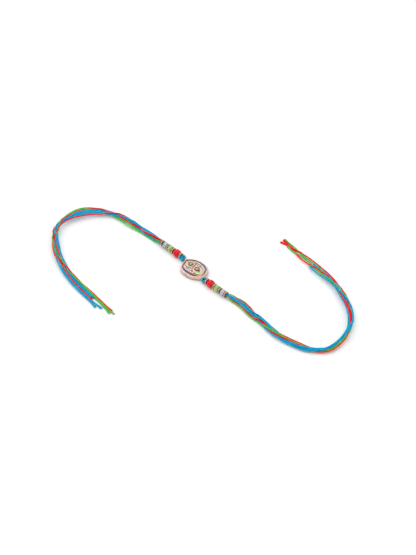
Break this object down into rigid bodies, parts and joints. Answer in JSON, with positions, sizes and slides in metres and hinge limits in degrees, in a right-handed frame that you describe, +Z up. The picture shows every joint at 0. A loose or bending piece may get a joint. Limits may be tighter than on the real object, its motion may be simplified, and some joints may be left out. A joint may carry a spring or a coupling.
{
  "type": "rakhi thread bracelet",
  "caption": "Rakhi: gilt medallion with enamel and cut stones between two short strings of beads, with loose coloured threads for tying round a wrist.",
  "frame": {"origin": "middle of the medallion's flat back, on the surface that the bracelet lies on", "axes": "+X from point to point of the medallion towards the right string of beads, +Z up out of the medallion's face"},
  "size_m": [0.1935, 0.1394, 0.0052],
  "materials": {
    "gilt_metal": "polished",
    "channel_enamel": "gloss",
    "red_enamel": "gloss",
    "leaf_enamel": "gloss",
    "aqua_stone": "cut",
    "clear_stone": "cut",
    "red_bead": "gloss",
    "green_bead": "gloss",
    "crystal_bead": "cut",
    "spacer_metal": "worn",
    "thread_blue": "silky",
    "thread_mixed": "silky"
  },
  "bodies": {
    "root": {"channel_enamel": "channel_enamel", "crystal_bead_left": "crystal_bead", "crystal_bead_right": "crystal_bead", "drop_stone_left": "aqua_stone", "drop_stone_right": "aqua_stone", "green_bead_left": "green_bead", "green_bead_right": "green_bead", "leaf_enamel_left": "leaf_enamel", "leaf_enamel_right": "leaf_enamel", "medallion_body": "gilt_metal", "red_bead_left": "red_bead", "red_bead_right": "red_bead", "red_enamel_left": "red_enamel", "red_enamel_right": "red_enamel", "rondelle_left_1": "spacer_metal", "rondelle_left_2": "spacer_metal", "rondelle_left_3": "spacer_metal", "rondelle_left_4": "spacer_metal", "rondelle_right_1": "spacer_metal", "rondelle_right_2": "spacer_metal", "rondelle_right_3": "spacer_metal", "rondelle_right_4": "spacer_metal", "rondelle_stones_left_1": "clear_stone", "rondelle_stones_left_2": "clear_stone", "rondelle_stones_left_3": "clear_stone", "rondelle_stones_left_4": "clear_stone", "rondelle_stones_right_1": "clear_stone", "rondelle_stones_right_2": "clear_stone", "rondelle_stones_right_3": "clear_stone", "rondelle_stones_right_4": "clear_stone", "small_stone_left_1": "clear_stone", "small_stone_left_2": "clear_stone", "small_stone_left_3": "clear_stone", "small_stone_left_4": "clear_stone", "small_stone_left_5": "clear_stone", "small_stone_left_6": "clear_stone", "small_stone_left_7": "clear_stone", "small_stone_left_8": "clear_stone", "small_stone_left_9": "clear_stone", "small_stone_right_1": "clear_stone", "small_stone_right_2": "clear_stone", "small_stone_right_3": "clear_stone", "small_stone_right_4": "clear_stone", "small_stone_right_5": "clear_stone", "small_stone_right_6": "clear_stone", "small_stone_right_7": "clear_stone", "small_stone_right_8": "clear_stone", "small_stone_right_9": "clear_stone", "thread_core_left": "thread_blue", "thread_core_right": "thread_blue", "thread_tail_left": "thread_mixed", "thread_tail_right": "thread_mixed"}
  },
  "joints": []
}
